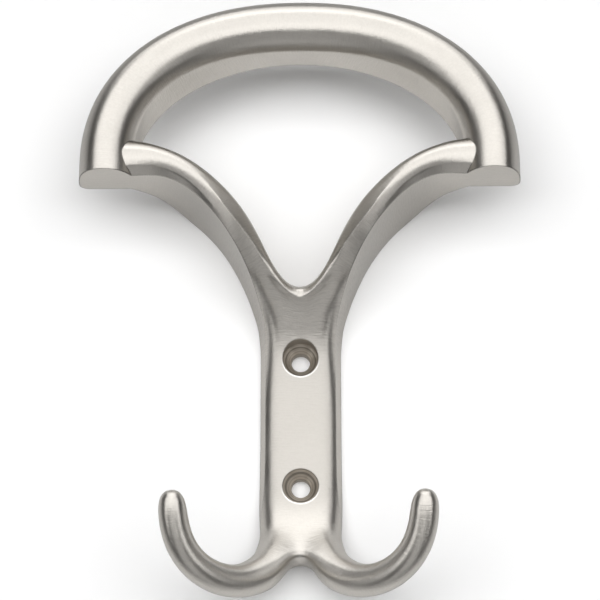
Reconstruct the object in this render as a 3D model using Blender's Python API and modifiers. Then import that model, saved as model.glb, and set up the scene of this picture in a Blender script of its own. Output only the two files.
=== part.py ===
# Double coat hook with a hat bar, cast in one piece.
# The wall is the plane y = 0, the front faces -Y, and Z points up.
# The origin lies on the back face, midway between the two screw holes.

import math

import bmesh
import bpy
from mathutils import Vector

mm = 0.001

# screw holes
holeSpacing = 32.0 * mm
holeDiameter = 4.6 * mm
headDiameter = 8.7 * mm
headSeat = 2.0 * mm          # material left under the screw head

# stem
stemWidth = 19.9 * mm        # at the wall
faceWidth = 11.2 * mm        # flat front between the rounded shoulders
stemThickness = 4.3 * mm     # at its thinnest, between the holes
sideSlope = 1.3 * mm         # how far each side leans in from the wall to its edge line
sideHeight = 2.75 * mm       # height of that edge line above the wall

# fork and arms
forkHeight = 31.8 * mm       # lip of the fork above the origin
forkDepth = 14.3 * mm        # how far the lip stands off the wall
armStart = 22.0 * mm         # where the edge line leaves the stem
armDepth = 25.2 * mm         # edge line of the arms above the wall
armWidth = 6.25 * mm
armDome = 3.3 * mm           # rounded front above the edge line
armFlare = 1.6 * mm          # how far the arms' sides lean out to the wall by the fork
forkShare = 0.235            # place of the fork along the arm

# arch
archHalfWidth = 54.1 * mm
archTop = 103.9 * mm
archSpring = 60.7 * mm       # above this the arch curves, below it is straight
archEnd = 56.6 * mm          # level end faces
archFullness = 2.17
barWidthEnd = 13.6 * mm
barWidthTop = 13.95 * mm
barFullness = 2.36
barDepth = 12.9 * mm
barStandoff = 17.0 * mm      # gap between the wall and the back of the arch
armClear = 0.3 * mm          # the arms' ends stand this far off the arch's back and end planes
barWall = 7.2 * mm           # height of the inner wall up to its edge line
backWidthEnd = 13.5 * mm     # the inner wall follows a rounder curve at its back edge
backWidthTop = 14.3 * mm
backFullness = 2.0
barRound = 2.4 * mm          # rounded outer back edge
backRound = 0.5 * mm         # eased inner back edge

# small hooks
hookSpread = 29.0 * mm       # centre line of the tips from the middle
hookDrop = 42.1 * mm         # lowest point of the centre line
hookReach = 32.0 * mm        # tips above the wall
hookTip = 24.6 * mm          # top of the tips below the origin
rodThick = 8.4 * mm
rodThin = 6.9 * mm
notchHeight = 34.6 * mm      # underside between the two hooks

ringSides = 12
smoothLevel = 1
archRings = 26
archSides = 9
holeSteps = 48


def makeMaterial(name, color, roughness, metallic):
    material = bpy.data.materials.new(name)
    material.use_nodes = True
    shader = material.node_tree.nodes["Principled BSDF"]
    shader.inputs["Base Color"].default_value = (*color, 1.0)
    shader.inputs["Roughness"].default_value = roughness
    shader.inputs["Metallic"].default_value = metallic
    material.diffuse_color = (*color, 1.0)
    return material


def blend(first, second, share):
    return first + (second - first) * share


def place(x, depth, z):
    # depth counts from the wall toward the room
    return Vector((x, -depth, z))


def bezier(points, t):
    a, b, c, d = points
    u = 1.0 - t
    return u * u * u * a + 3 * u * u * t * b + 3 * u * t * t * c + t * t * t * d


def bezierSlope(points, t):
    a, b, c, d = points
    u = 1.0 - t
    return (3 * u * u * (b - a) + 6 * u * t * (c - b) + 3 * t * t * (d - c)).normalized()


# left half of the stem, as open rings from the middle of the front to the middle of the back
def stemRing(z, edgeX, edgeDepth, faceDepth, backX):
    flat = edgeX * (faceWidth / 2) / (stemWidth / 2 - sideSlope)
    rise = faceDepth - edgeDepth
    return [
        place(0, faceDepth, z),
        place(-flat * 0.55, faceDepth, z),
        place(-flat, faceDepth - 0.04 * rise, z),
        place(-blend(flat, edgeX, 0.6), edgeDepth + 0.62 * rise, z),
        place(-edgeX, edgeDepth, z),
        place(-(edgeX + backX) / 2, edgeDepth / 2, z),
        place(-backX, 0, z),
        place(-backX / 2, 0, z),
        place(0, 0, z),
    ]


def stemRings():
    edgeX = stemWidth / 2 - sideSlope
    backX = stemWidth / 2
    half = holeSpacing / 2
    low = -half - 0.35 * (notchHeight - half)
    lower = -half - 0.62 * (notchHeight - half)
    rings = []
    # height, extra face depth and extra edge depth, as shares of the stem's thickness
    for z, face, edge, widen in (
        (lower, 0.62, 0.22, -0.02 * backX),
        (low, 0.24, 0.04, 0.02 * backX),
        (-half, 0.04, 0.0, 0.01 * backX),
        (-half * 0.5, 0.0, 0.0, 0.0),
        (0.0, 0.0, 0.0, 0.0),
        (half * 0.5, 0.03, 0.02, 0.0),
        (half, 0.12, 0.12, 0.0),
        (blend(half, armStart, 0.6), 0.38, 0.35, 0.005 * backX),
    ):
        rings.append(stemRing(z, edgeX + widen * 0.3, sideHeight + edge * stemThickness,
                              stemThickness * (1 + face), backX + widen))
    return rings


# left arm: a deep bracket with a flat outer side, drawn along its outer edge line
def armPath():
    start = Vector((-(stemWidth / 2 - sideSlope), armStart))
    end = Vector((-(archHalfWidth - barWidthEnd) * 0.874, archEnd + armClear))
    rise = end.y - start.y
    run = start.x - end.x
    return (start, start + Vector((0, rise * 0.29)), end + Vector((run * 0.449, 0)), end)


def armFront(shape):
    # the front from the outer edge to the inner side: how far across, and how high above the
    # edge line as a share of the dome; shape is 0 by the fork, 1 in the middle, 2 by the arch
    fork = ((0.18, 0.18), (0.42, 0.42), (0.66, 0.60), (0.92, 0.26), (1.03, -0.15))
    middle = ((0.12, 0.20), (0.27, 0.43), (0.42, 0.63), (0.91, -0.04), (1.07, -0.42))
    arch = ((0.19, 0.61), (0.39, 0.91), (0.62, 1.00), (0.87, 0.62), (0.98, 0.04))
    near, far = (fork, middle) if shape < 1 else (middle, arch)
    share = shape if shape < 1 else shape - 1
    return [(blend(a, c, share), blend(b, d, share)) for (a, b), (c, d) in zip(near, far)]


def armRing(edge, outward, width, edgeDepth, backDepth, flare, dome, shape):
    # across runs from the outer side (0) to the inner side (1) of the arm
    across = -outward
    wall = edgeDepth - backDepth
    back = edge + outward * flare

    def point(share, depth):
        spot = edge + across * width * share
        return place(spot.x, depth, spot.y)

    front = [point(share, edgeDepth + dome * rise) for share, rise in armFront(shape)]
    return [
        front[3],
        front[2],
        front[1],
        front[0],
        point(0.0, edgeDepth),
        place((edge.x + back.x) / 2, backDepth + wall / 2, (edge.y + back.y) / 2),
        place(back.x, backDepth, back.y),
        point(0.5, backDepth),
        point(0.96, backDepth),
        point(1.0, backDepth + 0.12 * wall),
        point(1.02, backDepth + 0.5 * wall),
        front[4],
    ]


def forkRing():
    # the arms' inner sides meet on the mirror plane
    edge = bezier(armPath(), forkShare)
    lip = forkHeight
    return [
        place(0, forkDepth - 0.8 * mm, lip - 2.4 * mm),
        place(edge.x * 0.5, forkDepth + 0.3 * mm, lip - 1.1 * mm),
        place(edge.x * 0.77, forkDepth + 0.6 * mm, lip - 1.0 * mm),
        place(edge.x * 0.90, forkDepth + 0.3 * mm, lip - 0.9 * mm),
        place(edge.x, forkDepth - 0.45 * mm, edge.y),
        place(edge.x - armFlare / 2, forkDepth / 2, edge.y),
        place(edge.x - armFlare, 0, edge.y),
        place(edge.x / 2, 0, lip + 0.6 * mm),
        place(0, 0, lip + 1.0 * mm),
        place(0, forkDepth * 0.14, lip + 1.2 * mm),
        place(0, forkDepth * 0.55, lip + 1.1 * mm),
        place(0, forkDepth * 0.95, lip + 0.2 * mm),
    ]


def roundedStep(first, second, share):
    # a ring between two others, whose inner side leaves the mirror plane in a round valley
    ring = []
    for side, (near, far) in enumerate(zip(first, second)):
        spot = near.lerp(far, share)
        if side == 0 or side > 7:
            spot.z = blend(near.z, far.z, share ** 2.5)
        ring.append(spot)
    return ring


def armRings():
    path = armPath()
    rings = []
    # the stem's front climbs to the fork
    climb = forkDepth - stemThickness
    for t, face, edge in ((0.0, 0.32, 0.265), (0.08, 0.52, 0.452), (0.15, 0.72, 0.632)):
        spot = bezier(path, t)
        flare = blend(sideSlope * 1.25, armFlare, t / forkShare)
        rings.append(stemRing(spot.y, -spot.x, sideHeight + edge * (forkDepth - sideHeight),
                              stemThickness + face * climb, flare - spot.x))
    fork = len(rings)
    rings.append(forkRing())
    # place along the path, width, edge depth, back lift, flare and front shape of each section
    clear = barStandoff + armClear
    for t, width, edge, lift, flare, shape in (
        (0.31, 0.95, 0.72, 0.0, 0.75, 0.0),
        (0.40, 0.96, 0.85, 0.0, 0.5, 0.2),
        (0.50, 1.0, 0.937, 0.0, 0.22, 1.0),
        (0.60, 1.03, 0.978, 0.0, 0.06, 1.05),
        (0.70, 1.03, 0.993, 0.0, 0.0, 1.35),
        (0.79, 1.05, 1.0, 0.03, 0.0, 1.8),
        (0.90, 1.15, 1.0, 0.31, 0.0, 2.0),
        (1.00, 1.34, 1.0, 0.62, 0.0, 2.0),
    ):
        along = bezierSlope(path, t)
        outward = Vector((-along.y, along.x))
        rings.append(armRing(bezier(path, t), outward, armWidth * width, armDepth * edge,
                             clear * lift, flare * armFlare, armDome, shape))
    # straight on into the arch
    inside = Vector((-(archHalfWidth - barWidthEnd / 2), archEnd - armClear))
    end = path[3]
    for share, width, lift in ((0.32, 1.5, 0.85), (0.64, 1.56, 1.05), (1.0, 1.56, 1.1)):
        rings.append(armRing(end.lerp(inside, share), Vector((0, -1)), armWidth * width, armDepth,
                             clear * lift, 0.0, armDome * blend(1.0, 0.9, share), 2.0))
    rings.insert(fork + 1, roundedStep(rings[fork], rings[fork + 1], 0.5))
    return rings


# left small hook: a tapered round rod that runs down, out and up again
def hookPath():
    low = -hookDrop
    rise = hookDrop - hookTip
    return [
        (Vector((-0.285 * hookSpread, -0.28 * hookReach, low + 0.21 * rise)), 1.17),
        (Vector((-0.48 * hookSpread, -0.42 * hookReach, low + 0.01 * rise)), 1.0),
        (Vector((-0.67 * hookSpread, -0.57 * hookReach, low)), 0.96),
        (Vector((-0.835 * hookSpread, -0.71 * hookReach, low + 0.12 * rise)), 0.91),
        (Vector((-0.945 * hookSpread, -0.82 * hookReach, low + 0.35 * rise)), 0.88),
        (Vector((-0.99 * hookSpread, -0.905 * hookReach, low + 0.61 * rise)), 0.86),
        (Vector((-hookSpread, -0.965 * hookReach, low + 0.82 * rise)), rodThin / rodThick),
    ]


def roundRing(centre, along, radius):
    front = Vector((0, -1, 0))
    front = (front - along * front.dot(along)).normalized()
    inner = along.cross(front)
    ring = []
    for side in range(ringSides):
        angle = math.radians(90 + (side - 1) * 360 / ringSides)
        ring.append(centre + (front * math.sin(angle) - inner * math.cos(angle)) * radius)
    return ring


def hookRings():
    path = hookPath()
    rings = []
    for index, (centre, size) in enumerate(path):
        before = path[max(index - 1, 0)][0]
        after = path[min(index + 1, len(path) - 1)][0]
        if index == 0:
            before = Vector((0, -0.2 * hookReach, -notchHeight * 0.9))
        rings.append(roundRing(centre, (after - before).normalized(), rodThick / 2 * size))
    # rounded tip
    centre = path[-1][0]
    along = (centre - path[-2][0]).normalized()
    radius = rodThin / 2
    for angle in (40, 72):
        turn = math.radians(angle)
        rings.append(roundRing(centre + along * radius * math.sin(turn) * 1.1, along,
                               radius * math.cos(turn)))
    rings.reverse()
    return rings


def notchRing():
    # the hooks' undersides meet on the mirror plane
    low = -notchHeight
    wide = stemWidth / 2
    return [
        place(0, 9.4 * mm, low + 0.9 * mm),
        place(-wide * 0.37, 10.2 * mm, low + 2.4 * mm),
        place(-wide * 0.70, 9.2 * mm, low + 4.3 * mm),
        place(-wide * 0.91, 7.0 * mm, low + 4.6 * mm),
        place(-wide * 0.985, 4.6 * mm, low + 5.1 * mm),
        place(-wide, 2.4 * mm, low + 5.1 * mm),
        place(-wide * 0.96, 0.5 * mm, low + 4.8 * mm),
        place(-wide * 0.5, 0, low + 2.5 * mm),
        place(0, 0.4 * mm, low + 0.3 * mm),
        place(0, 2.6 * mm, low - 0.7 * mm),
        place(0, 5.8 * mm, low - 0.7 * mm),
        place(0, 8.4 * mm, low + 0.0 * mm),
    ]


def makeBody(collection):
    hook = hookRings()
    notch = notchRing()
    hook.append(roundedStep(notch, hook[-1], 0.5))
    stem = stemRings()
    arm = armRings()
    rings = hook + [notch] + stem + arm
    bm = bmesh.new()
    sharp = bm.edges.layers.float.new("crease_edge")
    rows = [[bm.verts.new(spot) for spot in ring] for ring in rings]
    for row, after in zip(rows, rows[1:]):
        sides = min(len(row), len(after))
        closed = len(row) == ringSides and len(after) == ringSides
        for side in range(sides if closed else sides - 1):
            following = (side + 1) % ringSides
            bm.faces.new((row[side], after[side], after[following], row[following]))
    bm.faces.new(rows[0])
    bm.faces.new(list(reversed(rows[-1])))

    # edge lines: outer edge of stem and arms, and the back corners
    firstStem = len(hook) + 1
    lastRow = len(rows) - 1
    for index in range(firstStem - 1, lastRow):
        fade = min(1.0, max(0.0, (index - firstStem + 1) / 3))
        for side, strength in ((4, 1.0), (6, 0.9)):
            edge = bm.edges.get((rows[index][side], rows[index + 1][side]))
            edge[sharp] = strength * fade
        # crisp lines along the arm's front: a ridge in the middle, a facet by the arch
        station = index - (len(rows) - 11)
        ridge = {0: 0.5, 1: 0.8, 2: 0.95, 3: 0.8, 4: 0.3}.get(station, 0.0)
        facet = min(0.9, max(0.0, 0.35 * (station - 2)))
        for side, strength in ((1, ridge), (3, facet)):
            if strength > 0:
                bm.edges.get((rows[index][side], rows[index + 1][side]))[sharp] = strength
        if len(rows[index]) == ringSides and index >= firstStem:
            bm.edges.get((rows[index][8], rows[index + 1][8]))[sharp] = 0.9
    bm.normal_update()
    mesh = bpy.data.meshes.new("coat_hook")
    bm.to_mesh(mesh)
    bm.free()
    body = bpy.data.objects.new("coat_hook", mesh)
    collection.objects.link(body)
    mirror = body.modifiers.new("Mirror", "MIRROR")
    mirror.use_clip = True
    mirror.merge_threshold = 0.0001
    smooth = body.modifiers.new("Smooth", "SUBSURF")
    smooth.levels = smoothLevel
    smooth.render_levels = smoothLevel
    return body


# arch: a domed bar, swept along a full curve and open below
def archSection():
    # across -1 at the inner wall to 1 at the outer flank, height 0 at the back to 1 at the front,
    # and how much of each point follows the back curve
    wall = barWall / barDepth
    eased = backRound / barDepth
    points = [(-1 + 2 * backRound / barWidthEnd, 0.0, 1.0)]
    points.append((-1 + 0.58 * backRound / barWidthEnd, 0.29 * eased, 1.0))
    points.append((-1.0, eased, 1.0))
    for step in range(archSides + 1):
        angle = math.radians(90 * step / archSides)
        across = -math.cos(angle)
        points.append((across, wall + (1 - wall) * (1 - abs(across) ** 2.1) ** 0.75, 0.0))
    flank = archSides + 4
    foot = barRound / barDepth
    for step in range(1, flank + 1):
        angle = math.radians(90 * step / flank)
        across = math.sin(angle) ** (2 / 2.3)
        height = foot + (1 - foot) * math.cos(angle) ** (2 / 2.3) if step < flank else foot
        points.append((across, height, 0.0))
    corner = 2 * barRound / barWidthEnd
    points.append((1 - 0.29 * corner, foot * 0.29, 0.0))
    points.append((1 - corner, 0.0, 0.0))
    return points


def archCurve(halfWidth, top, fullness, share):
    # share 0 at the left end face, 1 at the crown
    straight = 0.06
    if share < straight:
        return Vector((-halfWidth, blend(archEnd - 1.0 * mm, archSpring, share / straight)))
    angle = math.radians(90 * (share - straight) / (1 - straight))
    x = -halfWidth * max(0.0, math.cos(angle)) ** (2 / fullness)
    z = archSpring + (top - archSpring) * math.sin(angle) ** (2 / fullness)
    return Vector((x, z))


def makeArch(collection):
    section = archSection()
    bm = bmesh.new()
    rows = []
    for index in range(-archRings, archRings + 1):
        share = 1 - abs(index) / archRings
        mirrored = 1 if index <= 0 else -1
        outer = archCurve(archHalfWidth, archTop, archFullness, share)
        inner = archCurve(archHalfWidth - barWidthEnd, archTop - barWidthTop, barFullness, share)
        back = archCurve(archHalfWidth - backWidthEnd, archTop - backWidthTop, backFullness, share)
        row = []
        for across, height, lean in section:
            spot = inner.lerp(outer, (across + 1) / 2) + (back - inner) * lean
            row.append(bm.verts.new(place(spot.x * mirrored, barStandoff + barDepth * height, spot.y)))
        rows.append(row)
    count = len(section)
    for row, after in zip(rows, rows[1:]):
        for side in range(count):
            following = (side + 1) % count
            bm.faces.new((row[side], row[following], after[following], after[side]))
    bm.faces.new(list(reversed(rows[0])))
    bm.faces.new(rows[-1])
    bmesh.ops.recalc_face_normals(bm, faces=bm.faces)
    mesh = bpy.data.meshes.new("arch")
    bm.to_mesh(mesh)
    bm.free()
    arch = bpy.data.objects.new("arch", mesh)
    collection.objects.link(arch)
    return arch


def makeHoleCutter(collection, height):
    # turned profile of the screw hole, from the room side down to the wall side
    deep = headSeat + (headDiameter - holeDiameter) / 2
    room = stemThickness + 12 * mm
    profile = [
        (0, room),
        (headDiameter / 2, room),
        (headDiameter / 2, deep),
        (holeDiameter / 2, headSeat),
        (holeDiameter / 2, -1 * mm),
        (0, -1 * mm),
    ]
    mesh = bpy.data.meshes.new("screw_hole")
    mesh.from_pydata([(r, 0, h) for r, h in profile], [(i, i + 1) for i in range(len(profile) - 1)], [])
    cutter = bpy.data.objects.new("screw_hole", mesh)
    collection.objects.link(cutter)
    cutter.location = (0, 0, height)
    cutter.rotation_euler = (math.radians(90), 0, 0)
    turn = cutter.modifiers.new("Turn", "SCREW")
    turn.steps = holeSteps
    turn.render_steps = holeSteps
    turn.merge_threshold = 0.0001
    turn.use_merge_vertices = True
    return cutter


def makeEndCutter(collection, side):
    # a level plane trims the arch end and the arm's underside beside it
    inner = -armPath()[3].x
    outer = archHalfWidth + 4 * mm
    height = 5 * mm
    middle = ((inner + outer) / 2 * side, -armDepth, archEnd - height / 2)
    bpy.ops.mesh.primitive_cube_add(size=1, location=middle)
    block = bpy.context.object
    block.name = "end_trim"
    block.scale = (outer - inner, 2 * armDepth, height)
    bpy.ops.object.transform_apply(location=False, rotation=False, scale=True)
    for owner in list(block.users_collection):
        owner.objects.unlink(block)
    collection.objects.link(block)
    return block


def hideGuide(guide):
    guide.hide_render = True
    guide.display_type = "WIRE"


def addBoolean(target, operation, other):
    change = target.modifiers.new(other.name, "BOOLEAN")
    change.operation = operation
    change.solver = "EXACT"
    change.object = other


def main():
    for thing in list(bpy.data.objects):
        bpy.data.objects.remove(thing)
    scene = bpy.context.scene
    parts = bpy.data.collections.new("coat hook")
    cutters = bpy.data.collections.new("cutters")
    scene.collection.children.link(parts)
    scene.collection.children.link(cutters)

    nickel = makeMaterial("satin_nickel", (0.56, 0.54, 0.50), 0.32, 1.0)
    body = makeBody(parts)
    body.data.materials.append(nickel)

    arch = makeArch(cutters)
    hideGuide(arch)
    addBoolean(body, "UNION", arch)
    for side in (-1, 1):
        trim = makeEndCutter(cutters, side)
        hideGuide(trim)
        addBoolean(body, "DIFFERENCE", trim)
    for height in (holeSpacing / 2, -holeSpacing / 2):
        cutter = makeHoleCutter(cutters, height)
        hideGuide(cutter)
        addBoolean(body, "DIFFERENCE", cutter)
    body.data.shade_smooth()
    body.data.set_sharp_from_angle(angle=math.radians(30))
    print("coat hook modelled")


main()
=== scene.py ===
# Double coat hook with a hat bar: one casting in satin nickel, hung on a white wall.
# Sizes in the dictionaries are millimetres unless noted. The wall is y = 0 and the front faces -Y.
import math

import bmesh
import bpy
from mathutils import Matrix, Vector


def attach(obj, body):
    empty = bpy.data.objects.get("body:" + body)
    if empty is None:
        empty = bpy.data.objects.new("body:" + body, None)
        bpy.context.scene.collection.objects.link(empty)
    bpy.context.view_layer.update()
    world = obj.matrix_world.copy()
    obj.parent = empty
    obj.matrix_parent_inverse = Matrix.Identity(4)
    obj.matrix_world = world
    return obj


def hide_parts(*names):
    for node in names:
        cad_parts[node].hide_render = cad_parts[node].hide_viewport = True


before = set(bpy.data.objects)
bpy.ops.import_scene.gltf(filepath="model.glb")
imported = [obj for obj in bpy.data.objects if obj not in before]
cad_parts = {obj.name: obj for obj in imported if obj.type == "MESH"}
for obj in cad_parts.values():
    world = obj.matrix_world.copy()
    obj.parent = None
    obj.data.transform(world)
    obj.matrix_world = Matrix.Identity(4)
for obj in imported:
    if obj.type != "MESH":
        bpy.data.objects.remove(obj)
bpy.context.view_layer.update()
mm = 0.001
uvUnit = 200 * mm   # one step of the brush map


def blendTo(first, second, share):
    return first + (second - first) * share


def place(x, depth, z):
    # depth counts from the wall toward the room
    return Vector((x * mm, -depth * mm, z * mm))


def bezier(points, t):
    a, b, c, d = points
    u = 1 - t
    return u * u * u * a + 3 * u * u * t * b + 3 * u * t * t * c + t * t * t * d


def bezierSlope(points, t):
    a, b, c, d = points
    u = 1 - t
    return (3 * u * u * (b - a) + 6 * u * t * (c - b) + 3 * t * t * (d - c)).normalized()


def newObject(name, bm):
    mesh = bpy.data.meshes.new(name)
    bm.to_mesh(mesh)
    bm.free()
    obj = bpy.data.objects.new(name, mesh)
    bpy.context.scene.collection.objects.link(obj)
    return obj


# the two countersunk screw holes: the cutter reaches above the face and below the back
screwHoles = {
    "spacing": 32.0, "bore": 4.6, "head": 8.7, "seat": 2.0, "above": 20.0, "below": 1.0,
    "steps": 96, "turnStep": 0.21,
}

# the stem, and how finely the whole body is smoothed. The shares place the points of its section:
# the face's middle point and eased edge, then the shoulder half-way down the slope
stem = {
    "width": 19.9, "face": 11.2, "thickness": 4.3, "sideSlope": 1.3, "sideHeight": 2.75,
    "faceMiddle": 0.55, "faceEase": 0.04, "shoulderAcross": 0.6, "shoulderUp": 0.62,
    "ringSides": 12, "smoothLevel": 3, "sharpAngle": 14, "valleyCurve": 2.5, "mapShift": 0.5,
}


def stemRing(z, edgeX, edgeDepth, faceDepth, backX):
    # half a section, from the middle of the front to the middle of the back
    flat = edgeX * (stem["face"] / 2) / (stem["width"] / 2 - stem["sideSlope"])
    rise = faceDepth - edgeDepth
    return [
        place(0, faceDepth, z),
        place(-flat * stem["faceMiddle"], faceDepth, z),
        place(-flat, faceDepth - stem["faceEase"] * rise, z),
        place(-blendTo(flat, edgeX, stem["shoulderAcross"]), edgeDepth + stem["shoulderUp"] * rise, z),
        place(-edgeX, edgeDepth, z),
        place(-(edgeX + backX) / 2, edgeDepth / 2, z),
        place(-backX, 0, z),
        place(-backX / 2, 0, z),
        place(0, 0, z),
    ]


def stemRings():
    edgeX = stem["width"] / 2 - stem["sideSlope"]
    backX = stem["width"] / 2
    half = screwHoles["spacing"] / 2
    drop = smallHooks["notch"] - half
    rings = []
    # height, then how far the face and its edge stand out, and how much the back and the edge widen
    for z, face, edge, widen, out in (
        (-half - 0.62 * drop, 0.62, 0.22, -0.02 * backX, 1.1),
        (-half - 0.35 * drop, 0.24, 0.04, 0.02 * backX, 0.85),
        (-half, 0.04, 0.0, 0.01 * backX, 0.15),
        (-half * 0.5, 0.0, 0.0, 0.0, 0.0),
        (0.0, 0.0, 0.0, 0.0, 0.0),
        (half * 0.5, 0.06, 0.03, 0.0, 0.0),
        (half, 0.35, 0.14, 0.0, 0.0),
        (blendTo(half, arm["start"], 0.6), 0.69, 0.38, 0.005 * backX, 0.01),
    ):
        rings.append(stemRing(z, edgeX + out, stem["sideHeight"] + edge * stem["thickness"],
                              stem["thickness"] * (1 + face), backX + widen))
    return rings


# the fork and the two deep arms, drawn along their outer edge line
arm = {
    "forkHeight": 31.8, "forkDepth": 14.3, "forkShare": 0.235, "start": 22.0, "depth": 25.2,
    "width": 6.25, "dome": 3.3, "endShare": 0.874, "endRise": 0.2, "startPull": 0.29, "endPull": 0.449,
    "startFlare": 1.25, "flare": 1.6, "archInset": 0.3, "archDome": 0.9, "faceSlope": 0.66,
}


def armPath():
    start = Vector((-(stem["width"] / 2 - stem["sideSlope"]), arm["start"]))
    end = Vector((-(arch["halfWidth"] - arch["barEnd"]) * arm["endShare"], arch["end"] + arm["endRise"]))
    rise = end.y - start.y
    run = start.x - end.x
    return (start, start + Vector((0, rise * arm["startPull"])), end + Vector((run * arm["endPull"], 0)), end)


# the front of an arm in three places, from the outer edge to the inner side: how far across,
# and how high above the edge line as a share of the dome
armFronts = {
    "fork": ((0.18, 0.18), (0.42, 0.42), (0.66, 0.60), (0.92, 0.26), (1.03, -0.15)),
    "middle": ((0.12, 0.20), (0.27, 0.43), (0.42, 0.63), (0.91, -0.04), (1.07, -0.42)),
    "arch": ((0.19, 0.61), (0.39, 0.91), (0.62, 1.00), (0.87, 0.62), (0.98, 0.04)),
}


def armFront(shape):
    # shape 0 by the fork, 1 in the middle, 2 by the arch
    names = ("fork", "middle") if shape < 1 else ("middle", "arch")
    share = shape if shape < 1 else shape - 1
    pairs = zip(armFronts[names[0]], armFronts[names[1]])
    return [(blendTo(near[0], far[0], share), blendTo(near[1], far[1], share)) for near, far in pairs]


def armRing(edge, outward, width, edgeDepth, backDepth, flare, dome, shape):
    across = -outward
    wall = edgeDepth - backDepth
    back = edge + outward * flare

    def point(share, depth):
        # across the arm as a share of its width
        spot = edge + across * width * share
        return place(spot.x, depth, spot.y)

    front = [point(share, edgeDepth + dome * rise) for share, rise in armFront(shape)]
    return [
        front[3],
        front[2],
        front[1],
        front[0],
        point(0.0, edgeDepth),
        place((edge.x + back.x) / 2, backDepth + wall / 2, (edge.y + back.y) / 2),
        place(back.x, backDepth, back.y),
        point(0.5, backDepth),
        point(0.96, backDepth),
        point(1.0, backDepth + 0.12 * wall),
        point(1.02, backDepth + 0.5 * wall),
        front[4],
    ]


def forkRing():
    # the arms' inner sides meet on the mirror plane
    edge = bezier(armPath(), arm["forkShare"])
    depth = arm["forkDepth"]
    lip = arm["forkHeight"]
    return [
        place(0, depth - 1.15, lip - 3.8),
        place(edge.x * 0.5, depth + 0.3, lip - 1.1),
        place(edge.x * 0.77, depth + 0.6, lip - 1.0),
        place(edge.x * 0.90, depth + 0.3, lip - 0.9),
        place(edge.x, depth - 0.45, edge.y),
        place(edge.x - 0.8, depth / 2, edge.y),
        place(edge.x - arm["flare"], 0, edge.y),
        place(edge.x / 2, 0, lip + 0.6),
        place(0, 0, lip + 1.0),
        place(0, depth * 0.14, lip + 1.2),
        place(0, depth * 0.6, lip + 1.1),
        place(0, depth * 0.95, lip + 0.05),
    ]


def roundedStep(first, second, share):
    # a ring between two others, whose inner side leaves the mirror plane in a round valley
    ring = []
    for side, (near, far) in enumerate(zip(first, second)):
        spot = near.lerp(far, share)
        if side == 0 or side > 7:
            spot.z = blendTo(near.z, far.z, share ** stem["valleyCurve"])
        ring.append(spot)
    return ring


def armRings():
    path = armPath()
    rings = []
    climb = arm["forkDepth"] - stem["thickness"]
    # where on the path, and how far the face and its edge have climbed to the fork
    for t, face, edge in ((0.0, 0.425, 0.265), (0.08, 0.605, 0.452), (0.15, 0.785, 0.632)):
        spot = bezier(path, t)
        flare = blendTo(stem["sideSlope"] * arm["startFlare"], arm["flare"], t / arm["forkShare"])
        depth = stem["sideHeight"] + edge * (arm["forkDepth"] - stem["sideHeight"])
        rings.append(stemRing(spot.y, -spot.x, depth, stem["thickness"] + face * climb, flare - spot.x))
    # below the lip the middle of the face hangs lower, so that the lip rounds over softly
    for ring, lower in ((rings[-2], 0.5), (rings[-1], 1.4)):
        ring[0] += place(0, -lower * arm["faceSlope"], -lower)
    fork = len(rings)
    rings.append(forkRing())
    lift = arch["standoff"] + arm["archInset"]
    # where on the path, shares of width and depth, lift off the wall, flare of the back, shape of the front
    for t, width, edge, up, flare, shape in (
        (0.31, 0.95, 0.72, 0.0, 1.2, 0.0),
        (0.40, 0.96, 0.85, 0.0, 0.8, 0.2),
        (0.50, 1.0, 0.937, 0.0, 0.35, 1.0),
        (0.60, 1.03, 0.978, 0.0, 0.1, 1.05),
        (0.70, 1.03, 0.993, 0.0, 0.0, 1.35),
        (0.79, 1.05, 1.0, 0.03, 0.0, 1.8),
        (0.90, 1.15, 1.0, 0.31, 0.0, 2.0),
        (1.00, 1.34, 1.0, 0.62, 0.0, 2.0),
    ):
        along = bezierSlope(path, t)
        outward = Vector((-along.y, along.x))
        rings.append(armRing(bezier(path, t), outward, arm["width"] * width, arm["depth"] * edge,
                             lift * up, flare, arm["dome"], shape))
    # straight on into the arch
    inside = Vector((-(arch["halfWidth"] - arch["barEnd"] / 2), arch["end"] - arm["archInset"]))
    for share, width, up in ((0.32, 1.5, 0.85), (0.64, 1.56, 1.05), (1.0, 1.56, 1.1)):
        dome = arm["dome"] * blendTo(1.0, arm["archDome"], share)
        rings.append(armRing(path[3].lerp(inside, share), Vector((0, -1)), arm["width"] * width,
                             arm["depth"], lift * up, 0.0, dome, 2.0))
    rings.insert(fork + 1, roundedStep(rings[fork], rings[fork + 1], 0.5))
    return rings


# the two small hooks below
smallHooks = {
    "spread": 29.0, "drop": 42.09, "reach": 31.98, "tip": 24.6,
    "thick": 8.4, "thin": 6.9, "notch": 34.6, "rootDepth": 0.2, "rootHeight": 0.9,
    "tipAngles": (40, 72), "tipLength": 1.1,
}


def hookPath():
    spread, reach = smallHooks["spread"], smallHooks["reach"]
    low = -smallHooks["drop"]
    rise = smallHooks["drop"] - smallHooks["tip"]
    # shares of the spread, the reach and the rise, and the thickness there
    stations = [
        (0.285, 0.28, 0.21, 1.17),
        (0.48, 0.42, 0.01, 1.0),
        (0.67, 0.57, 0.0, 0.96),
        (0.835, 0.71, 0.12, 0.91),
        (0.945, 0.82, 0.35, 0.88),
        (0.99, 0.905, 0.61, 0.86),
        (1.0, 0.965, 0.82, smallHooks["thin"] / smallHooks["thick"]),
    ]
    return [(place(-out * spread, front * reach, low + up * rise), size) for out, front, up, size in stations]


def roundRing(centre, along, radius):
    front = Vector((0, -1, 0))
    front = (front - along * front.dot(along)).normalized()
    inner = along.cross(front)
    ring = []
    for side in range(stem["ringSides"]):
        angle = math.radians(90 + (side - 1) * 360 / stem["ringSides"])
        ring.append(centre + (front * math.sin(angle) - inner * math.cos(angle)) * radius)
    return ring


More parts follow.
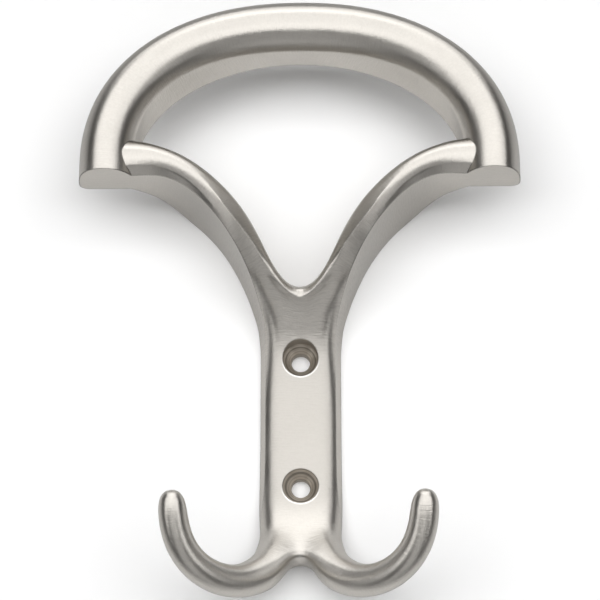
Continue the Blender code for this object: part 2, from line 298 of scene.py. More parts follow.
def hookRings():
    path = hookPath()
    thick = smallHooks["thick"] / 2 * mm
    rings = []
    for index, (centre, size) in enumerate(path):
        before = path[max(index - 1, 0)][0]
        after = path[min(index + 1, len(path) - 1)][0]
        if index == 0:
            before = place(0, smallHooks["rootDepth"] * smallHooks["reach"],
                           -smallHooks["notch"] * smallHooks["rootHeight"])
        rings.append(roundRing(centre, (after - before).normalized(), thick * size))
    centre = path[-1][0]
    along = (centre - path[-2][0]).normalized()
    thin = smallHooks["thin"] / 2 * mm
    for angle in smallHooks["tipAngles"]:   # rounded tip
        turn = math.radians(angle)
        tip = centre + along * thin * math.sin(turn) * smallHooks["tipLength"]
        rings.append(roundRing(tip, along, thin * math.cos(turn)))
    rings.reverse()
    return rings


def notchRing():
    # the hooks' undersides meet on the mirror plane
    low = -smallHooks["notch"]
    wide = stem["width"] / 2
    return [
        place(0, 9.4, low + 0.9),
        place(-wide * 0.37, 10.2, low + 2.4),
        place(-wide * 0.70, 9.2, low + 4.3),
        place(-wide * 0.91, 7.0, low + 4.6),
        place(-wide * 0.985, 4.6, low + 5.1),
        place(-wide, 2.4, low + 5.1),
        place(-wide * 0.96, 0.5, low + 4.8),
        place(-wide * 0.5, 0, low + 2.5),
        place(0, 0.4, low + 0.3),
        place(0, 2.6, low - 0.7),
        place(0, 5.8, low - 0.7),
        place(0, 8.4, low),
    ]


def lengthsAround(ring):
    # distance along the section to each point, and back to the first one
    total = 0.0
    lengths = [total]
    for near, far in zip(ring, ring[1:] + ring[:1]):
        total += (far - near).length
        lengths.append(total)
    return lengths


def middleOf(ring):
    return sum(ring, Vector()) / len(ring)


# how crisp the edge lines are: outer edge, back corners and valley, the ridge of an arm from the fork on,
# and the facet that grows along the arm's last stations
creases = {
    "edge": 1.0, "back": 0.9, "valley": 0.9, "ridge": (0.8, 1.0, 1.0, 0.85, 0.3),
    "facetStep": 0.35, "facetMost": 0.9, "armStations": 11, "fadeRings": 3,
}


def makeBody():
    hook = hookRings()
    notch = notchRing()
    hook.append(roundedStep(notch, hook[-1], 0.5))
    rings = hook + [notch] + stemRings() + armRings()
    sides = stem["ringSides"]
    along = [0.0]
    for near, far in zip(rings, rings[1:]):
        along.append(along[-1] + (middleOf(far) - middleOf(near)).length)
    around = [lengthsAround(ring) for ring in rings]

    bm = bmesh.new()
    crease = bm.edges.layers.float.new("crease_edge")
    brush = bm.loops.layers.uv.new("brush")
    rows = [[bm.verts.new(spot) for spot in ring] for ring in rings]
    for index in range(len(rows) - 1):
        row, after = rows[index], rows[index + 1]
        closed = len(row) == sides and len(after) == sides
        count = min(len(row), len(after))
        for side in range(count if closed else count - 1):
            following = (side + 1) % sides
            face = bm.faces.new((row[side], after[side], after[following], row[following]))
            spots = ((index, side), (index + 1, side), (index + 1, side + 1), (index, side + 1))
            for loop, (r, s) in zip(face.loops, spots):
                whole = around[r][-1] if side > 7 else 0.0   # the map's seam runs down the back
                loop[brush].uv = (along[r] / uvUnit, stem["mapShift"] + (around[r][s] - whole) / uvUnit)
    bm.faces.new(rows[0])
    bm.faces.new(list(reversed(rows[-1])))

    firstStem = len(hook) + 1
    firstArm = len(rows) - creases["armStations"]   # the arm's first full section
    for index in range(firstStem - 1, len(rows) - 1):
        fade = min(1.0, max(0.0, (index - firstStem + 2) / creases["fadeRings"]))
        station = index - firstArm
        lines = {4: creases["edge"] * fade, 6: creases["back"] * fade}
        if 0 <= station < len(creases["ridge"]):
            lines[1] = creases["ridge"][station]
        if station > 2:
            lines[3] = min(creases["facetMost"], creases["facetStep"] * (station - 2))
        if len(rows[index]) == sides and index >= firstStem:
            lines[8] = creases["valley"]
        for side, strength in lines.items():
            bm.edges.get((rows[index][side], rows[index + 1][side]))[crease] = strength
    bm.normal_update()
    body = newObject("body", bm)
    mirror = body.modifiers.new("Mirror", "MIRROR")
    mirror.use_clip = True
    mirror.merge_threshold = 0.00001
    mirror.use_mirror_v = True   # the brush map runs on across the middle
    smooth = body.modifiers.new("Smooth", "SUBSURF")
    smooth.levels = stem["smoothLevel"]
    smooth.render_levels = stem["smoothLevel"]
    return body


# the arch: a domed bar swept along a full curve, open below
arch = {
    "halfWidth": 54.1, "top": 103.9, "spring": 60.7, "end": 56.6, "fullness": 2.17,
    "barEnd": 13.6, "barTop": 13.95, "barFullness": 2.36, "depth": 12.9, "standoff": 17.0,
    "wall": 7.2, "backEnd": 13.5, "backTop": 14.3, "backFullness": 2.0, "round": 2.4, "backRound": 0.7,
    "domeAcross": 2.1, "domeUp": 0.75, "flankRound": 2.3, "straight": 0.06,
    "belowEnd": 1.0, "mapShift": 0.2,
    "rings": 90, "sides": 20, "flankSides": 30, "backSides": 4, "wallSides": 4, "cornerSides": 6,
}


def archSection():
    # across -1 at the inner wall to 1 at the outer flank, height 0 at the back to 1 at the front,
    # and how much of each point follows the back curve
    wall = arch["wall"] / arch["depth"]
    points = []
    small = arch["backRound"]
    for step in range(arch["backSides"] + 1):   # rounded inner back edge
        angle = math.radians(90 * step / arch["backSides"])
        points.append((-1 + 2 * small * (1 - math.sin(angle)) / arch["barEnd"],
                       small * (1 - math.cos(angle)) / arch["depth"], 1.0))
    start = small / arch["depth"]
    for step in range(1, arch["wallSides"]):
        share = step / arch["wallSides"]
        points.append((-1.0, blendTo(start, wall, share), 1.0 - share))
    for step in range(arch["sides"] + 1):
        angle = math.radians(90 * step / arch["sides"])
        across = -math.cos(angle)
        dome = (1 - abs(across) ** arch["domeAcross"]) ** arch["domeUp"]
        points.append((across, wall + (1 - wall) * dome, 0.0))
    flank = arch["flankSides"]
    power = 2 / arch["flankRound"]
    foot = arch["round"] / arch["depth"]
    for step in range(1, flank + 1):
        angle = math.radians(90 * step / flank)
        across = math.sin(angle) ** power
        height = foot + (1 - foot) * max(0.0, math.cos(angle)) ** power if step < flank else foot
        points.append((across, height, 0.0))
    corner = 2 * arch["round"] / arch["barEnd"]
    for step in range(1, arch["cornerSides"] + 1):   # rounded outer back edge
        angle = math.radians(90 * step / arch["cornerSides"])
        points.append((1 - corner * (1 - math.cos(angle)), foot * (1 - math.sin(angle)), 0.0))
    return points


def archCurve(halfWidth, top, fullness, share):
    straight = arch["straight"]
    if share < straight:
        return Vector((-halfWidth, blendTo(arch["end"] - arch["belowEnd"], arch["spring"], share / straight)))
    angle = math.radians(90 * (share - straight) / (1 - straight))
    x = -halfWidth * max(0.0, math.cos(angle)) ** (2 / fullness)
    z = arch["spring"] + (top - arch["spring"]) * math.sin(angle) ** (2 / fullness)
    return Vector((x, z))


def makeArch():
    section = archSection()
    rings = []
    count = arch["rings"]
    for index in range(-count, count + 1):
        share = 1 - abs(index) / count
        side = 1 if index <= 0 else -1
        outer = archCurve(arch["halfWidth"], arch["top"], arch["fullness"], share)
        inner = archCurve(arch["halfWidth"] - arch["barEnd"], arch["top"] - arch["barTop"],
                          arch["barFullness"], share)
        back = archCurve(arch["halfWidth"] - arch["backEnd"], arch["top"] - arch["backTop"],
                         arch["backFullness"], share)
        ring = []
        for across, height, lean in section:
            spot = inner.lerp(outer, (across + 1) / 2) + (back - inner) * lean
            ring.append(place(spot.x * side, arch["standoff"] + arch["depth"] * height, spot.y))
        rings.append(ring)
    bm = bmesh.new()
    brush = bm.loops.layers.uv.new("brush")
    rows = [[bm.verts.new(spot) for spot in ring] for ring in rings]
    around = lengthsAround(rings[count])
    along = [0.0]
    for near, far in zip(rings, rings[1:]):
        along.append(along[-1] + (middleOf(far) - middleOf(near)).length)
    total = len(section)
    for index in range(len(rows) - 1):
        for side in range(total):
            following = (side + 1) % total
            face = bm.faces.new((rows[index][side], rows[index][following],
                                 rows[index + 1][following], rows[index + 1][side]))
            spots = ((index, side), (index, side + 1), (index + 1, side + 1), (index + 1, side))
            for loop, (r, s) in zip(face.loops, spots):
                loop[brush].uv = (along[r] / uvUnit, around[s] / uvUnit + arch["mapShift"])
    for cap in (list(reversed(rows[0])), rows[-1]):
        face = bm.faces.new(cap)
        for loop in face.loops:
            loop[brush].uv = (-loop.vert.co.y / uvUnit, loop.vert.co.x / uvUnit)
    bmesh.ops.recalc_face_normals(bm, faces=bm.faces)
    return newObject("arch", bm)


def makeHoleCutter(height):
    # turned profile of the screw hole, with its brush map in rings
    deep = screwHoles["seat"] + (screwHoles["head"] - screwHoles["bore"]) / 2
    head, bore = screwHoles["head"] / 2, screwHoles["bore"] / 2
    profile = [(head, screwHoles["above"]), (head, deep), (bore, screwHoles["seat"]),
               (bore, -screwHoles["below"])]
    steps = screwHoles["steps"]
    bm = bmesh.new()
    brush = bm.loops.layers.uv.new("brush")
    rows = []
    for radius, depth in profile:
        row = []
        for step in range(steps):
            angle = math.radians(360 * step / steps)
            spot = place(radius * math.cos(angle), depth, height + radius * math.sin(angle))
            row.append(bm.verts.new(spot))
        rows.append(row)
    length = 0.0
    for index in range(len(rows) - 1):
        step = (rows[index + 1][0].co - rows[index][0].co).length
        for side in range(steps):
            following = (side + 1) % steps
            face = bm.faces.new((rows[index][side], rows[index][following],
                                 rows[index + 1][following], rows[index + 1][side]))
            spots = ((0, side), (0, side + 1), (step, side + 1), (step, side))
            for loop, (down, turn) in zip(face.loops, spots):
                loop[brush].uv = ((length + down) / uvUnit, turn * screwHoles["turnStep"] * mm / uvUnit)
        length += step
    bm.faces.new(list(reversed(rows[0])))
    bm.faces.new(rows[-1])
    bmesh.ops.recalc_face_normals(bm, faces=bm.faces)
    return newObject("screwHole", bm)


# the block that cuts the arch end level
endTrim = {"beyond": 4.0, "height": 5.0}


def makeEndTrim(side):
    # a level plane trims the arch end and the arm's underside beside it
    inner = -armPath()[3].x * mm
    outer = (arch["halfWidth"] + endTrim["beyond"]) * mm
    height = endTrim["height"]
    bm = bmesh.new()
    bmesh.ops.create_cube(bm, size=1)
    brush = bm.loops.layers.uv.new("brush")
    for vert in bm.verts:
        vert.co.x = ((inner + outer) / 2 + vert.co.x * (outer - inner)) * side
        vert.co.y = vert.co.y * 2 * arm["depth"] * mm - arm["depth"] * mm
        vert.co.z = (arch["end"] - height / 2 + height * vert.co.z) * mm
    for face in bm.faces:
        for loop in face.loops:
            loop[brush].uv = (-loop.vert.co.y / uvUnit, loop.vert.co.x / uvUnit)
    bmesh.ops.recalc_face_normals(bm, faces=bm.faces)
    return newObject("endTrim", bm)


def cut(target, operation, other):
    change = target.modifiers.new(other.name, "BOOLEAN")
    change.operation = operation
    change.solver = "EXACT"
    change.object = other
    return other


def castingMesh():
    body = makeBody()
    helpers = [cut(body, "UNION", makeArch())]
    for side in (-1, 1):
        helpers.append(cut(body, "DIFFERENCE", makeEndTrim(side)))
    for height in (screwHoles["spacing"] / 2, -screwHoles["spacing"] / 2):
        helpers.append(cut(body, "DIFFERENCE", makeHoleCutter(height)))
    bpy.context.view_layer.update()
    graph = bpy.context.evaluated_depsgraph_get()
    mesh = bpy.data.meshes.new_from_object(body.evaluated_get(graph), preserve_all_data_layers=True,
                                           depsgraph=graph)
    for helper in helpers + [body]:
        bpy.data.objects.remove(helper)
    return mesh


def makeCasting():
    mesh = castingMesh()
    mesh.name = "coatHookCasting"
    mesh.shade_smooth()
    mesh.set_sharp_from_angle(angle=math.radians(stem["sharpAngle"]))
    casting = bpy.data.objects.new("coatHookCasting", mesh)
    bpy.context.scene.collection.objects.link(casting)
    return casting


casting = makeCasting()
print("casting modelled", len(casting.data.polygons))
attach(casting, "root")
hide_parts("coat_hook")


# satin nickel: brushed lines across the path, soft patches, darker screw holes with a painted highlight on
# the lower rim, painted dark reflections along the edges and on the stem's flat.
# Scales are steps per metre, bands are where a mask starts and ends
nickel = {
    "tone": (0.56, 0.535, 0.497), "roughness": (0.28, 0.34), "anisotropic": 0.6, "tint": (0.75, 0.75, 0.75),
    "patchScale": 90.0, "patchBand": (0.3, 0.7), "patchTones": (0.965, 1.035),
    "grainStep": 0.45, "grainDepth": 0.02, "grainBand": (0.25, 0.75), "grainShade": 0.12,
    "grainTone": (0.3, 0.285, 0.26),
}

# the brushed lines: they sway a little (in steps of the brush map), and show most on the fork
brushing = {
    "step": 0.4, "length": 3.0, "depth": 0.07, "swayScale": 220.0, "sway": 0.004,
    "band": (0.3, 0.62), "tone": (0.42, 0.4, 0.37), "shade": 0.12, "forkShade": 0.6,
    "forkStart": (14, 22), "forkEnd": (34, 50),
}

# the flat of the stem is brushed more coarsely than the rest, and its colour is painted darker to stand in
# for the dimmer reflection it shows
stemFlat = {"half": (6.5, 9.0), "height": (17, 25), "coarser": 0.12, "shade": 0.5, "dimReflectionShare": 0.8}

# the screw holes, turned in rings, with a painted highlight on the lower part of their rims. The step of the
# turned rings, the hole's edge and the rim are shares of the head's radius
recess = {
    "tone": (0.37, 0.335, 0.29), "rimHighlightTone": (0.86, 0.85, 0.82), "turnedStep": 0.11,
    "turnedBand": (0.38, 0.62), "turnedTones": (0.66, 1.45),
    "edge": (1.0, 1.01), "rim": (1.04, 1.12), "rimBelow": (-0.75, 0.1),
}

# the rounded edges, with a painted dark reflection along them except where the face is turned squarely to the
# room
edging = {
    "radius": 0.55, "samples": 6, "tone": (0.12, 0.11, 0.1), "shade": 0.85,
    "match": (0.93, 0.998), "facing": (-0.97, -0.85),
}


def newGroup(name, inputs, outputs):
    group = bpy.data.node_groups.new(name, "ShaderNodeTree")
    for label, kind, value in inputs:
        socket = group.interface.new_socket(label, in_out="INPUT", socket_type=kind)
        if value is not None:
            socket.default_value = value
    for label, kind in outputs:
        group.interface.new_socket(label, in_out="OUTPUT", socket_type=kind)
    start = group.nodes.new("NodeGroupInput")
    end = group.nodes.new("NodeGroupOutput")
    return group, start, end


def mathNode(tree, operation, first, second=None, third=None):
    node = tree.nodes.new("ShaderNodeMath")
    node.operation = operation
    for slot, value in enumerate((first, second, third)):
        if value is None:
            continue
        if isinstance(value, (int, float)):
            node.inputs[slot].default_value = value
        else:
            tree.links.new(value, node.inputs[slot])
    return node.outputs[0]


def noiseNode(tree, vector, scale, detail, roughness):
    node = tree.nodes.new("ShaderNodeTexNoise")
    for label, setting in (("Scale", scale), ("Detail", detail), ("Roughness", roughness)):
        node.inputs[label].default_value = setting
    tree.links.new(vector, node.inputs["Vector"])
    return node.outputs["Fac"]


def rampNode(tree, value, low, high, first=0.0, last=1.0):
    node = tree.nodes.new("ShaderNodeMapRange")
    node.interpolation_type = "SMOOTHSTEP"
    tree.links.new(value, node.inputs["Value"])
    for label, setting in (("From Min", low), ("From Max", high), ("To Min", first), ("To Max", last)):
        node.inputs[label].default_value = setting
    return node.outputs["Result"]


def brushedLines():
    # height of fine lines that run across the path, from the brush map and the place
    group, start, end = newGroup("brushedLines", (
        ("Brush", "NodeSocketVector", None), ("Place", "NodeSocketVector", None),
        ("Step", "NodeSocketFloat", 300.0), ("Length", "NodeSocketFloat", 40.0)),
        (("Height", "NodeSocketFloat"),))
    split = group.nodes.new("ShaderNodeSeparateXYZ")
    group.links.new(start.outputs["Brush"], split.inputs[0])
    sway = noiseNode(group, start.outputs["Place"], brushing["swayScale"], 1.0, 0.5)
    along = mathNode(group, "MULTIPLY_ADD", sway, brushing["sway"], split.outputs[0])
    join = group.nodes.new("ShaderNodeCombineXYZ")
    group.links.new(mathNode(group, "MULTIPLY", along, start.outputs["Step"]), join.inputs[0])
    group.links.new(mathNode(group, "MULTIPLY", split.outputs[1], start.outputs["Length"]), join.inputs[1])
    group.links.new(noiseNode(group, join.outputs[0], 1.0, 2.0, 0.6), end.inputs["Height"])
    return group


def softPatches():
    # slow and fast unevenness of the finish
    group, start, end = newGroup("softPatches", (("Place", "NodeSocketVector", None),),
                                 (("Slow", "NodeSocketFloat"), ("Fast", "NodeSocketFloat")))
    group.links.new(noiseNode(group, start.outputs["Place"], nickel["patchScale"], 3.0, 0.55),
                    end.inputs["Slow"])
    group.links.new(noiseNode(group, start.outputs["Place"], 1000 / nickel["grainStep"], 2.0, 0.6),
                    end.inputs["Fast"])
    return group


def screwRecess():
    # 1 inside the screw holes, 1 on the lower part of their rims where a highlight is painted, and the marks
    # of turning
    group, start, end = newGroup("screwRecess", (
        ("Place", "NodeSocketVector", None), ("Apart", "NodeSocketFloat", 16 * mm),
        ("Radius", "NodeSocketFloat", 4 * mm), ("Step", "NodeSocketFloat", 0.1)),
        (("Deep", "NodeSocketFloat"), ("RimHighlight", "NodeSocketFloat"), ("Turned", "NodeSocketFloat")))
    split = group.nodes.new("ShaderNodeSeparateXYZ")
    group.links.new(start.outputs["Place"], split.inputs[0])
    apart = start.outputs["Apart"]
    height = split.outputs[2]
    sign = mathNode(group, "SIGN", height)
    offset = mathNode(group, "SUBTRACT", height, mathNode(group, "MULTIPLY", sign, apart))
    square = mathNode(group, "MULTIPLY_ADD", split.outputs[0], split.outputs[0],
                      mathNode(group, "MULTIPLY", offset, offset))
    share = mathNode(group, "DIVIDE", mathNode(group, "SQRT", square), start.outputs["Radius"])
    group.links.new(rampNode(group, share, *recess["edge"], 1.0, 0.0), end.inputs["Deep"])
    ring = mathNode(group, "MULTIPLY", rampNode(group, share, *recess["edge"]),
                    rampNode(group, share, *recess["rim"], 1.0, 0.0))
    under = rampNode(group, mathNode(group, "DIVIDE", offset, start.outputs["Radius"]),
                     *recess["rimBelow"], 1.0, 0.0)
    group.links.new(mathNode(group, "MULTIPLY", ring, under), end.inputs["RimHighlight"])
    join = group.nodes.new("ShaderNodeCombineXYZ")
    group.links.new(mathNode(group, "DIVIDE", share, start.outputs["Step"]), join.inputs[0])
    group.links.new(sign, join.inputs[1])
    group.links.new(noiseNode(group, join.outputs[0], 1.0, 2.0, 0.6), end.inputs["Turned"])
    return group


def softEdges():
    # normals rounded over the edges, and a mask along the edges
    group, start, end = newGroup("softEdges", (("Radius", "NodeSocketFloat", 0.3 * mm),),
                                 (("Normal", "NodeSocketVector"), ("Edge", "NodeSocketFloat")))
    soften = group.nodes.new("ShaderNodeBevel")
    soften.samples = edging["samples"]
    group.links.new(start.outputs["Radius"], soften.inputs["Radius"])
    group.links.new(soften.outputs[0], end.inputs["Normal"])
    here = group.nodes.new("ShaderNodeNewGeometry")
    match = group.nodes.new("ShaderNodeVectorMath")
    match.operation = "DOT_PRODUCT"
    group.links.new(soften.outputs[0], match.inputs[0])
    group.links.new(here.outputs["Normal"], match.inputs[1])
    aside = group.nodes.new("ShaderNodeSeparateXYZ")
    group.links.new(here.outputs["Normal"], aside.inputs[0])
    mask = mathNode(group, "MULTIPLY", rampNode(group, match.outputs["Value"], *edging["match"], 1.0, 0.0),
                    rampNode(group, aside.outputs[1], *edging["facing"]))
    group.links.new(mask, end.inputs["Edge"])
    return group


def mixColour(tree, share, first, second):
    node = tree.nodes.new("ShaderNodeMix")
    node.data_type = "RGBA"
    tree.links.new(share, node.inputs[0])
    for slot, value in ((6, first), (7, second)):
        if isinstance(value, tuple):
            node.inputs[slot].default_value = (*value, 1)
        else:
            tree.links.new(value, node.inputs[slot])
    return node.outputs[2]


def placeGroup(tree, group):
    node = tree.nodes.new("ShaderNodeGroup")
    node.node_tree = group
    return node


def shadeTone(tone, share):
    return tuple(value * share for value in tone)


def bandOf(pair):
    # millimetres to metres
    return pair[0] * mm, pair[1] * mm


def makeNickel():
    paint = bpy.data.materials.new("satinNickel")
    paint.use_nodes = True
    tree = paint.node_tree
    links = tree.links
    shader = tree.nodes["Principled BSDF"]
    brush = tree.nodes.new("ShaderNodeUVMap")
    brush.uv_map = "brush"
    spot = tree.nodes.new("ShaderNodeTexCoord").outputs["Object"]
    axes = tree.nodes.new("ShaderNodeSeparateXYZ")
    links.new(spot, axes.inputs[0])
    across, height = axes.outputs[0], axes.outputs[2]
    lines = placeGroup(tree, brushedLines())
    lines.inputs["Step"].default_value = uvUnit / (brushing["step"] * mm)
    lines.inputs["Length"].default_value = uvUnit / (brushing["length"] * mm)
    links.new(brush.outputs[0], lines.inputs["Brush"])
    links.new(spot, lines.inputs["Place"])
    patches = placeGroup(tree, softPatches())
    links.new(spot, patches.inputs["Place"])
    holes = placeGroup(tree, screwRecess())
    holes.inputs["Apart"].default_value = screwHoles["spacing"] / 2 * mm
    holes.inputs["Radius"].default_value = screwHoles["head"] / 2 * mm
    holes.inputs["Step"].default_value = recess["turnedStep"]
    links.new(spot, holes.inputs["Place"])
    edges = placeGroup(tree, softEdges())
    edges.inputs["Radius"].default_value = edging["radius"] * mm

    # colour: patches and grain, the stem's flat painted darker, then the strokes, a painted dark reflection
    # along the edges, the screw holes and a painted highlight on their rims
    tone = nickel["tone"]
    slow = rampNode(tree, patches.outputs["Slow"], *nickel["patchBand"])
    plain = mixColour(tree, slow, *(shadeTone(tone, share) for share in nickel["patchTones"]))
    grain = rampNode(tree, patches.outputs["Fast"], *nickel["grainBand"])
    grained = mixColour(tree, mathNode(tree, "MULTIPLY", grain, nickel["grainShade"]), plain,
                        nickel["grainTone"])
    fork = mathNode(tree, "MULTIPLY", rampNode(tree, height, *bandOf(brushing["forkStart"])),
                    rampNode(tree, height, *bandOf(brushing["forkEnd"]), 1.0, 0.0))
    strength = rampNode(tree, fork, 0.0, 1.0, brushing["shade"], brushing["forkShade"])
    stroke = mathNode(tree, "MULTIPLY",
                      rampNode(tree, lines.outputs["Height"], *brushing["band"], 1.0, 0.0), strength)
    flat = mathNode(tree, "MULTIPLY",
                    rampNode(tree, mathNode(tree, "ABSOLUTE", across), *bandOf(stemFlat["half"]), 1.0, 0.0),
                    rampNode(tree, mathNode(tree, "ABSOLUTE", height), *bandOf(stemFlat["height"]), 1.0, 0.0))
    # painted darker reflection on the stem's flat
    flatPaintedDim = mixColour(tree, mathNode(tree, "MULTIPLY", flat, stemFlat["shade"]), grained,
                       shadeTone(tone, stemFlat["dimReflectionShare"]))
    stroked = mixColour(tree, stroke, flatPaintedDim, brushing["tone"])
    # painted dark reflection along the rounded edges
    edgesPaintedDark = mixColour(tree, mathNode(tree, "MULTIPLY", edges.outputs["Edge"], edging["shade"]),
                      stroked, edging["tone"])
    turned = mixColour(tree, rampNode(tree, holes.outputs["Turned"], *recess["turnedBand"]),
                       *(shadeTone(recess["tone"], share) for share in recess["turnedTones"]))
    deep = mixColour(tree, holes.outputs["Deep"], edgesPaintedDark, turned)
    # painted highlight on the lower part of the screw holes' rims
    links.new(mixColour(tree, holes.outputs["RimHighlight"], deep, recess["rimHighlightTone"]), shader.inputs["Base Color"])

    finish = rampNode(tree, patches.outputs["Slow"], *nickel["patchBand"], *nickel["roughness"])
    links.new(mathNode(tree, "MULTIPLY_ADD", flat, stemFlat["coarser"], finish), shader.inputs["Roughness"])
    shader.inputs["Metallic"].default_value = 1.0
    shader.inputs["Anisotropic"].default_value = nickel["anisotropic"]
    shader.inputs["Specular Tint"].default_value = (*nickel["tint"], 1)
    tangent = tree.nodes.new("ShaderNodeTangent")
    tangent.direction_type = "UV_MAP"
    tangent.uv_map = "brush"
    links.new(tangent.outputs[0], shader.inputs["Tangent"])

    # relief: rounded edges, then grain, then the brushed lines
    normal = edges.outputs["Normal"]
    for value, depth in ((patches.outputs["Fast"], nickel["grainDepth"]),
                         (lines.outputs["Height"], brushing["depth"])):
        bump = tree.nodes.new("ShaderNodeBump")
        bump.inputs["Strength"].default_value = 1.0
        bump.inputs["Distance"].default_value = depth * mm
        links.new(value, bump.inputs["Height"])
        links.new(normal, bump.inputs["Normal"])
        normal = bump.outputs[0]
    links.new(normal, shader.inputs["Normal"])
    return paint


casting.data.materials.clear()
casting.data.materials.append(makeNickel())
print("satin nickel on the casting")


# white wall behind the hook, in metres: in reflections its colour is painted darker away from the hook, as
# painted shade of a dim room
wallPaint = {
    "half": 1.2, "gap": 0.4 * mm, "tone": 0.93, "roughness": 0.8, "specular": 0.1,
    "near": 0.07, "far": 0.2, "nearTone": 0.82, "farTone": 0.32, "touch": 0.9 * mm,
}


def makeWallPaint():
    paint = bpy.data.materials.new("wallPaint")
    paint.use_nodes = True
    tree = paint.node_tree
    nodes, links = tree.nodes, tree.links
    shader = nodes["Principled BSDF"]
    shader.inputs["Roughness"].default_value = wallPaint["roughness"]
    shader.inputs["Specular IOR Level"].default_value = wallPaint["specular"]
    here = nodes.new("ShaderNodeNewGeometry")
    reach = nodes.new("ShaderNodeVectorMath")
    reach.operation = "LENGTH"
    links.new(here.outputs["Position"], reach.inputs[0])
    fall = nodes.new("ShaderNodeMapRange")
    for label, setting in (("From Min", "near"), ("From Max", "far"), ("To Min", "nearTone"),
                           ("To Max", "farTone")):
        fall.inputs[label].default_value = wallPaint[setting]
    links.new(reach.outputs["Value"], fall.inputs["Value"])
    rays = nodes.new("ShaderNodeLightPath")
    mix = nodes.new("ShaderNodeMix")
    mix.data_type = "RGBA"
    mix.inputs[6].default_value = (wallPaint["tone"], wallPaint["tone"], wallPaint["tone"], 1)
    # glossy rays see the wall's colour with painted shade that deepens away from the hook
    links.new(rays.outputs["Is Glossy Ray"], mix.inputs[0])
    links.new(fall.outputs["Result"], mix.inputs[7])
    links.new(mix.outputs[2], shader.inputs["Base Color"])
    # from behind, the wall lets the hook's back be seen and lit
    touching = mathNode(tree, "LESS_THAN", rays.outputs["Ray Length"], wallPaint["touch"])
    bounced = mathNode(tree, "SUBTRACT", 1.0, rays.outputs["Is Camera Ray"])
    touched = mathNode(tree, "MULTIPLY", touching, bounced)
    clear = nodes.new("ShaderNodeBsdfTransparent")
    surface = nodes.new("ShaderNodeMixShader")
    links.new(mathNode(tree, "MAXIMUM", touched, here.outputs["Backfacing"]), surface.inputs[0])
    links.new(shader.outputs[0], surface.inputs[1])
    links.new(clear.outputs[0], surface.inputs[2])
    links.new(surface.outputs[0], nodes["Material Output"].inputs["Surface"])
    return paint


def makeWall():
    bm = bmesh.new()
    half = wallPaint["half"]
    corners = [bm.verts.new((x * half, wallPaint["gap"], z * half))
               for x, z in ((-1, -1), (1, -1), (1, 1), (-1, 1))]
    bm.faces.new(corners)
    wall = newObject("wall", bm)
    wall.data.materials.append(makeWallPaint())


makeWall()
print("wall placed")

# the camera looks up at the hook from a little to the right
view = {
    "place": (10.11, -563.73, -171.91), "ahead": (-0.01722, 0.93953, 0.34202),
    "lens": 144.2, "sensor": 36, "near": 0.01,
}


def makeCamera():
    data = bpy.data.cameras.new("camera")
    data.lens = view["lens"]
    data.sensor_width = view["sensor"]
    data.clip_start = view["near"]
    camera = bpy.data.objects.new("camera", data)
    camera.location = Vector(view["place"]) * mm
    camera.rotation_euler = Vector(view["ahead"]).to_track_quat("-Z", "Y").to_euler()
    bpy.context.scene.collection.objects.link(camera)
    bpy.context.scene.camera = camera


makeCamera()
print("camera placed")
bpy.context.scene.view_settings.view_transform = "Standard"


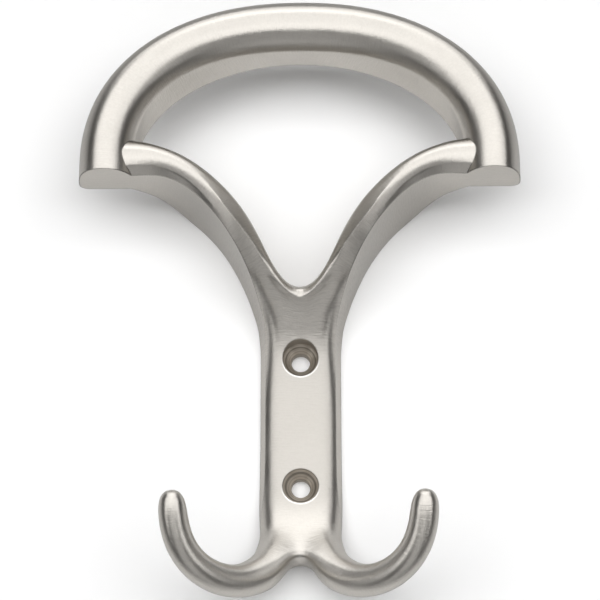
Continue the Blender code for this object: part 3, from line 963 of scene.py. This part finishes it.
# soft lamps: place, aim and size in metres and how bright the lamp's face is. Some aren't seen
# by the wall's paint, some not by the metal
studio = {
    "keyHigh": {"spot": (0.22, -1.3, 0.66), "aim": (0.22, 0.0, 0.66), "size": (3.6, 1.08), "glow": 1.6,
                "paint": False},
    "keyLow": {"spot": (-0.2, -1.3, -0.3), "aim": (-0.2, 0.0, -0.3), "size": (4.4, 0.84), "glow": 1.75,
               "paint": False},
    "top": {"spot": (0.0, -0.75, 1.5), "aim": (0.0, -0.75, 0.0), "size": (2.2, 1.4), "glow": 1.5,
            "paint": False},
    "topFront": {"spot": (-0.05, -1.08, 1.4), "aim": (-0.05, -1.08, 0.0), "size": (1.5, 0.98), "glow": 0.8,
                 "paint": False},
    "low": {"spot": (0.0, -0.35, -1.2), "aim": (0.0, -0.35, 0.0), "size": (1.0, 0.5), "glow": 0.55,
            "paint": False},
    "floor": {"spot": (0.0, -1.05, -1.2), "aim": (0.0, -1.05, 0.0), "size": (1.15, 0.9), "glow": 0.46,
              "paint": False},
    "leftLow": {"spot": (-1.15, -0.72, -0.7), "aim": (0.0, 0.0, 0.0), "size": (0.44, 0.5), "glow": 1.2,
                "paint": False},
    "rightLow": {"spot": (1.13, -0.75, -0.7), "aim": (0.0, 0.0, 0.0), "size": (0.4, 0.5), "glow": 1.2,
                 "paint": False},
    "wash": {"spot": (0.0, -2.0, 0.12), "aim": (0.0, 0.0, 0.0), "size": (3.6, 1.6), "glow": 3.15,
             "metal": False},
    "behind": {"spot": (0.0, 1.5, 0.0), "aim": (0.0, 0.0, 0.0), "size": (3.0, 2.0), "glow": 0.7,
               "paint": False},
    "washLow": {"spot": (0.0, -1.4, -1.5), "aim": (0.0, 0.0, 0.0), "size": (3.0, 1.2), "glow": 0.9,
                "metal": False},
}


def softLamp(name, settings):
    data = bpy.data.lights.new(name, "AREA")
    data.shape = "RECTANGLE"
    data.size, data.size_y = settings["size"]
    data.energy = settings["glow"] * math.pi * data.size * data.size_y
    lamp = bpy.data.objects.new(name, data)
    lamp.location = settings["spot"]
    lamp.rotation_euler = (Vector(settings["aim"]) - lamp.location).to_track_quat("-Z", "Y").to_euler()
    lamp.visible_diffuse = settings.get("paint", True)
    lamp.visible_glossy = settings.get("metal", True)
    bpy.context.scene.collection.objects.link(lamp)


for name, settings in studio.items():
    softLamp(name, settings)
print("lamps placed", len(studio))


# the dim room that the metal sees between the lamps, and the white that the camera sees
room = {"dim": 0.08, "seen": 1.0}


def makeWorld():
    world = bpy.data.worlds.new("studio")
    world.use_nodes = True
    nodes = world.node_tree.nodes
    links = world.node_tree.links
    dim = nodes["Background"]
    dim.inputs["Color"].default_value = (room["dim"], room["dim"], room["dim"], 1)
    seen = nodes.new("ShaderNodeBackground")
    seen.inputs["Color"].default_value = (room["seen"], room["seen"], room["seen"], 1)
    rays = nodes.new("ShaderNodeLightPath")
    mix = nodes.new("ShaderNodeMixShader")
    links.new(rays.outputs["Is Camera Ray"], mix.inputs[0])
    links.new(dim.outputs[0], mix.inputs[1])
    links.new(seen.outputs[0], mix.inputs[2])
    links.new(mix.outputs[0], nodes["World Output"].inputs["Surface"])
    bpy.context.scene.world = world


makeWorld()
print("studio ready")
